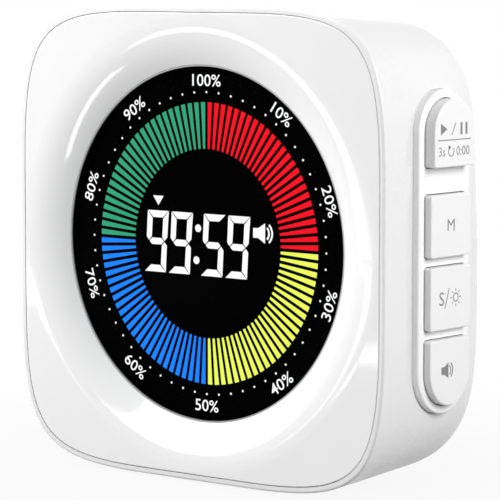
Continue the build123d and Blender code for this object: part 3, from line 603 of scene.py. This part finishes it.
# %% Grey ink and what the legends share
grey_ink = moulded("legend_grey", (0.20, 0.20, 0.205), gloss=0.5, grain_depth=0.01)
ink_layer = 0.015 * mm
legend_shift = -0.3  # towards the front, from the middle of the button
slash_width = 0.25
print("ink layer in mm:", ink_layer / mm)


def on_button(node):
    """Drawing plane on the face of a button: x towards the back, y up, z outwards."""
    low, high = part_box(node)
    middle = Vector((high.x, (low.y + high.y) / 2, (low.z + high.z) / 2))
    turn = Matrix(((0, 0, 1, 0), (1, 0, 0, 0), (0, 1, 0, 0), (0, 0, 0, 1)))
    return Matrix.Translation(middle) @ turn


def add_block(sheet, x_span, y_span):
    """A rectangle between two x and two y."""
    left, right = x_span
    low, high = y_span
    add_outline(sheet, [(left, low), (right, low), (right, high), (left, high)])


def add_slash(sheet, foot, y_span, run):
    """A slash that starts at x = foot and runs to the right."""
    low, high = y_span
    add_outline(sheet, [(foot, low), (foot + slash_width, low), (foot + run + slash_width, high),
                        (foot + run, high)])


def new_legend(name, sheet, body):
    """Print a finished legend on the face of the body's button."""
    thicken(sheet, ink_layer)
    bmesh.ops.translate(sheet, vec=(legend_shift * mm, 0, 0), verts=sheet.verts)
    new_piece(name, sheet, on_button(f"{body}_button"), body, grey_ink)


# %% Start button: play and pause above a line, reset below it
row_low, row_high = -0.35, 1.75
play_left, play_tip = -4.0, -2.1
pause_lefts, pause_width = (1.8, 3.3), 0.6
line_half_length, line_span = 4.9, (-1.28, -1.1)
small_height, small_y = 1.7, -3.15
reset_x, reset_y, reset_radius = -0.9, -3.2, 0.8
reset_head = ((-0.9, 1.15), (0.0, 0.8), (-0.65, 0.2))  # from the middle of the reset arrow

start = bmesh.new()
add_outline(start, [(play_left, row_high), (play_left, row_low), (play_tip, (row_low + row_high) / 2)])
add_slash(start, -0.85, (row_low, row_high), 1.15)
for left in pause_lefts:
    add_block(start, (left, left + pause_width), (row_low, row_high))
add_block(start, (-line_half_length, line_half_length), line_span)
add_text(start, "3s", small_height, (-3.6, small_y))
add_arc(start, reset_radius, 0.2, start=120, sweep=285, steps=24, centre=(reset_x, reset_y))
add_outline(start, [(reset_x + x, reset_y + y) for x, y in reset_head])
add_text(start, "0:00", small_height, (2.6, small_y))
new_legend("start_legend", start, "start_stop")

# %% Minute, second and volume buttons
minute = bmesh.new()
add_text(minute, "M", 2.2, (0.2, 0.1), stretch=1.1)
new_legend("minute_legend", minute, "minute")

sun = Vector((1.75, 0.0))
sun_radius, sun_line = 0.72, 0.22
ray_count, ray_start, ray_end, ray_half_width = 8, 1.1, 1.6, 0.1
second = bmesh.new()
add_text(second, "S", 2.45, (-2.45, 0.0), stretch=1.1)
add_slash(second, -1.6, (-1.75, 1.75), 1.25)
add_arc(second, sun_radius, sun_line, start=0, sweep=360, steps=24, centre=sun)
for ray in range(ray_count):
    angle = radians(ray * 360 / ray_count)
    along, across = Vector((cos(angle), sin(angle))), Vector((-sin(angle), cos(angle))) * ray_half_width
    inner, outer = sun + along * ray_start, sun + along * ray_end
    add_outline(second, [inner - across, outer - across, outer + across, inner + across])
new_legend("second_legend", second, "second")

volume = bmesh.new()
add_loudspeaker(volume, (-0.3, 0.4), 2.8)
new_legend("volume_legend", volume, "volume")

# %% [markdown]
# ## What the battery door hides
#
# The door opens, so what lies behind it should look finished too. Every cell gets a printed
# sleeve: a dark band over most of its length and a copper-coloured one at its plus end. A sleeve
# is a closed tube, made by spinning a small rectangle round the axis of the cell. The cells lie
# head to tail, so the middle one is the other way round.


# %% Sleeves of the cells
def add_tube(sheet, inner, outer, ends, centre):
    """A closed tube round an axis along x; radii and ends in millimetres, its centre a (y, z) in metres."""
    corners = [(ends[0], inner), (ends[1], inner), (ends[1], outer), (ends[0], outer)]
    verts = [sheet.verts.new((x * mm, centre[0], centre[1] + radius * mm)) for x, radius in corners]
    edges = [sheet.edges.new((verts[i - 1], verts[i])) for i in range(4)]
    bmesh.ops.spin(sheet, geom=[*verts, *edges], cent=(0, *centre), axis=(1, 0, 0), angle=radians(360),
                   steps=48, use_merge=True)
    bmesh.ops.recalc_face_normals(sheet, faces=sheet.faces)


cells_low, cells_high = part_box("battery_cells")
cell_radius = (cells_high.y - cells_low.y) / 2 / mm
cell_y = (cells_high.y + cells_low.y) / 2
first_z, last_z = cells_low.z + cell_radius * mm, cells_high.z - cell_radius * mm
plus_sides = (1, -1, 1)  # from the lowest cell up, 1 where its plus end lies towards +x
cell_centres = [(cell_y, first_z + share * (last_z - first_z)) for share in (0, 0.5, 1)]
sleeve_radius = cell_radius + 0.06
sleeve_end, band_start = 20.6, 10.4  # from the middle of the cell

body_sheet, band_sheet = bmesh.new(), bmesh.new()
for plus_side, centre in zip(plus_sides, cell_centres):
    body_ends = (-sleeve_end * plus_side, band_start * plus_side)
    band_ends = (band_start * plus_side, sleeve_end * plus_side)
    add_tube(body_sheet, cell_radius, sleeve_radius, body_ends, centre)
    add_tube(band_sheet, cell_radius, sleeve_radius, band_ends, centre)
sleeve_dark = moulded("sleeve_dark", (0.03, 0.032, 0.04), gloss=0.25)
sleeve_copper = moulded("sleeve_copper", (0.45, 0.20, 0.07), gloss=0.25)
in_place = Matrix.Identity(4)
new_piece("cell_sleeves", body_sheet, in_place, "case", sleeve_dark)
new_piece("cell_bands", band_sheet, in_place, "case", sleeve_copper)

# %% Plus and minus signs of the cells
def on_back(place):
    """Drawing plane at a place, facing backwards: y up, and x runs against the timer's own x."""
    turn = Matrix.Rotation(radians(180), 4, "Z") @ Matrix.Rotation(radians(90), 4, "X")
    return Matrix.Translation(place) @ turn


def pour(source, target):
    """Move all that one bmesh holds into another."""
    passing = bpy.data.meshes.new("passing")
    source.to_mesh(passing)
    source.free()
    target.from_mesh(passing)
    bpy.data.meshes.remove(passing)


plus_at, minus_at = 15.5, -17.0  # from the middle of the cell towards its plus end
sign_length, sign_line = 2.2, 0.5
sign_layer = 0.02 * mm  # half of it is sunk in the sleeve
strokes = ((plus_at, sign_length, sign_line), (plus_at, sign_line, sign_length),
           (minus_at, sign_length, sign_line))
sign_sheet = bmesh.new()
for plus_side, (y, z) in zip(plus_sides, cell_centres):
    signs = bmesh.new()
    for along, width, height in strokes:
        x = -along * plus_side
        add_block(signs, (x - width / 2, x + width / 2), (-height / 2, height / 2))
    thicken(signs, sign_layer)
    outside = on_back((0, y + sleeve_radius * mm - sign_layer / 2, z))
    bmesh.ops.transform(signs, matrix=outside, verts=signs.verts)
    pour(signs, sign_sheet)
sign_white = moulded("sign_white", (0.75, 0.75, 0.75), gloss=0.4)
new_piece("cell_signs", sign_sheet, in_place, "case", sign_white)

# %% [markdown]
# ## Arrow on the battery door
#
# Such doors show which way to pull. A raised arrow could be part of the moulding, but a printed
# one in the ink of the legends is as common, and it rides on the door when the door tips open.

# %% Arrow
door_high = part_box("battery_door")[1]
arrow_tip, arrow_half_width, arrow_height = (0, -1.2), 2.2, 2.4
arrow_drop = 11 * mm  # below the top of the door
arrow = bmesh.new()
add_pointer(arrow, arrow_tip, arrow_half_width, arrow_height)
thicken(arrow, ink_layer)
new_piece("door_arrow", arrow, on_back((0, door_high.y, door_high.z - arrow_drop)), "door", grey_ink)

# %% [markdown]
# ## Give the CAD parts their finishes
#
# The record that came with the CAD says which finish each node has. One loop puts our material
# on each of them.

# %% Paint the CAD nodes
slot_of = {part["node"]: part["material_slot"] for part in frame["record"]["subparts"]}
for name, node in nodes.items():
    node.data.materials.clear()
    node.data.materials.append(finishes[slot_of[name]])
print("painted nodes:", len(slot_of))

# %% [markdown]
# ## Studio
#
# A white object on a white ground needs contrast in the light, not in the colour. A pale world
# fills the shadows, and softboxes shape the dish and the sides. The floor looks white to the
# camera, but near the timer it keeps a little of its real shading, so that the real contact shadow
# stays; there its white glow is also turned down, which paints a faint shade round the timer.


# %% Floor
def white_rays(tree):
    """1 for the rays that see the background: from the camera, off gloss or through glass."""
    path = tree.nodes.new("ShaderNodeLightPath")
    glossy = tree.nodes.new("ShaderNodeMath")
    glossy.operation = "MAXIMUM"
    every = tree.nodes.new("ShaderNodeMath")
    every.operation = "MAXIMUM"
    tree.links.new(path.outputs["Is Camera Ray"], glossy.inputs[0])
    tree.links.new(path.outputs["Is Glossy Ray"], glossy.inputs[1])
    tree.links.new(glossy.outputs["Value"], every.inputs[0])
    tree.links.new(path.outputs["Is Transmission Ray"], every.inputs[1])
    return every.outputs["Value"]


def floor_finish(name):
    """Plain floor that glows white for the background's rays, a little less so under the timer."""
    material, tree, shader = plain_material(name)
    shader.inputs["Base Color"].default_value = (0.3, 0.3, 0.3, 1)
    shader.inputs["Roughness"].default_value = 0.9
    glow = tree.nodes.new("ShaderNodeEmission")
    where = tree.nodes.new("ShaderNodeTexCoord")
    reach = tree.nodes.new("ShaderNodeVectorMath")
    reach.operation = "LENGTH"
    # Painted shade: the white glow is turned down near the timer and fades back in by 0.12 m, so the floor
    # there shows its real shading and shadow and also reads a little darker.
    near_far = tree.nodes.new("ShaderNodeMapRange")
    near_far.inputs["From Min"].default_value = 0.04
    near_far.inputs["From Max"].default_value = 0.12
    near_far.inputs["To Min"].default_value = 0.92
    near_far.inputs["To Max"].default_value = 1.0
    share = tree.nodes.new("ShaderNodeMath")
    share.operation = "MULTIPLY"
    blend = tree.nodes.new("ShaderNodeMixShader")
    tree.links.new(where.outputs["Object"], reach.inputs[0])
    tree.links.new(reach.outputs["Value"], near_far.inputs["Value"])
    tree.links.new(white_rays(tree), share.inputs[0])
    tree.links.new(near_far.outputs["Result"], share.inputs[1])
    tree.links.new(share.outputs["Value"], blend.inputs["Fac"])
    tree.links.new(shader.outputs["BSDF"], blend.inputs[1])
    tree.links.new(glow.outputs["Emission"], blend.inputs[2])
    tree.links.new(blend.outputs["Shader"], tree.nodes["Material Output"].inputs["Surface"])
    return material


floor_drop = 0.02 * mm  # keeps the floor and the feet from lying in one plane
floor_sheet = bmesh.new()
bmesh.ops.create_grid(floor_sheet, x_segments=1, y_segments=1, size=8.0)
floor_mesh = bpy.data.meshes.new("floor")
floor_sheet.to_mesh(floor_mesh)
floor_sheet.free()
floor_mesh.materials.append(floor_finish("floor_white"))
floor = bpy.data.objects.new("floor", floor_mesh)
floor.location.z = -floor_drop
bpy.context.scene.collection.objects.link(floor)
floor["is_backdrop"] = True
print("floor at mm:", round(floor.location.z / mm, 3))

# %% World
world = bpy.data.worlds.new("studio")
bpy.context.scene.world = world
world.use_nodes = True
world_nodes, world_link = world.node_tree.nodes, world.node_tree.links.new
fill, white_view = world_nodes["Background"], world_nodes.new("ShaderNodeBackground")
fill.inputs["Color"].default_value = (1, 1, 1, 1)
fill.inputs["Strength"].default_value = 0.26
white_view.inputs["Color"].default_value = (1, 1, 1, 1)
white_view.inputs["Strength"].default_value = 1.0
switch = world_nodes.new("ShaderNodeMixShader")
world_link(white_rays(world.node_tree), switch.inputs["Fac"])
world_link(fill.outputs["Background"], switch.inputs[1])
world_link(white_view.outputs["Background"], switch.inputs[2])
world_link(switch.outputs["Shader"], world_nodes["World Output"].inputs["Surface"])
print("world:", world.name)

# %% [markdown]
# ## Lamps
#
# One large softbox at the left lights the front, and two weak ones keep the button side and the
# back from going grey. The glossy dish shows thin bright arcs; they are the mirror images of two
# flat lamps that lie on the floor in front of the timer.


# %% Softboxes and floor strips
def softbox(name, place, aim, size, power):
    """An area lamp at a place, turned towards a point; sizes in metres, power in watts."""
    lamp = bpy.data.lights.new(name, "AREA")
    lamp.shape = "RECTANGLE"
    lamp.size, lamp.size_y = size
    lamp.energy = power
    holder = bpy.data.objects.new(name, lamp)
    holder.location = place
    holder.rotation_euler = (Vector(aim) - Vector(place)).to_track_quat("-Z", "Y").to_euler()
    bpy.context.scene.collection.objects.link(holder)
    return holder


def floor_strip(name, azimuth, near, far, length, power):
    """A flat lamp lying on the floor between two distances, seen as a thin arc in the dish."""
    reach = (near + far) / 2
    place = Vector((-sin(radians(azimuth)) * reach, -cos(radians(azimuth)) * reach, 2 * mm))
    holder = softbox(name, place, place + Vector((0, 0, 1)), (length, far - near), power)
    holder.rotation_euler = (radians(180), 0, radians(-azimuth))


middle = (0, 0, dial_centre.z)
softbox("key_box", (-0.56, -0.45, 0.42), middle, (0.7, 0.72), 9.6)
softbox("side_box", (0.36, 0.0, 0.22), middle, (0.15, 0.2), 1.32)
softbox("back_box", (-0.3, 0.5, 0.1), middle, (0.4, 0.2), 0.6)
floor_strip("far_strip", 50, near=0.28, far=0.38, length=0.15, power=0.27)
floor_strip("near_strip", 23, near=0.165, far=0.19, length=0.05, power=0.035)
print("lamps:", len(bpy.data.lights))

# %% [markdown]
# ## Camera
#
# A long lens looks from the front right and a little above: the side shows its buttons while the
# dial stays nearly round.

# %% Camera
face_low, face_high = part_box("front_panel")
face_centre = Vector((0, face_low.y, (face_low.z + face_high.z) / 2))
azimuth, elevation, distance = radians(39.42), radians(5.69), 502.9 * mm
aim_shift = 13.06 * mm  # to the right of the dial, so that the side fits in the picture
aim_point = face_centre + Vector((aim_shift, 0, 0))
back = Vector((sin(azimuth) * cos(elevation), -cos(azimuth) * cos(elevation), sin(elevation)))
camera_data = bpy.data.cameras.new("camera")
camera_data.lens, camera_data.sensor_width = 206.4, 36
camera_data.clip_start = 0.01
camera = bpy.data.objects.new("camera", camera_data)
camera.location = aim_point + back * distance
camera.rotation_euler = (-back).to_track_quat("-Z", "Y").to_euler()
bpy.context.scene.collection.objects.link(camera)
bpy.context.scene.camera = camera
bpy.context.scene.view_settings.view_transform = "Standard"
print("camera at mm:", [round(v / mm) for v in camera.location])

# %% [markdown]
# ## Finish
#
# The box of the dressed timer should be the box of the CAD. The script measures both and prints how
# far the dressed timer reaches past the CAD box.

# %% Measure the dressed box against the CAD box and finish
dressed_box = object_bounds()
growth = max(*(cad_box[0] - dressed_box[0]), *(dressed_box[1] - cad_box[1]))
print("dressed timer past the CAD box in mm:", round(growth / mm, 3))
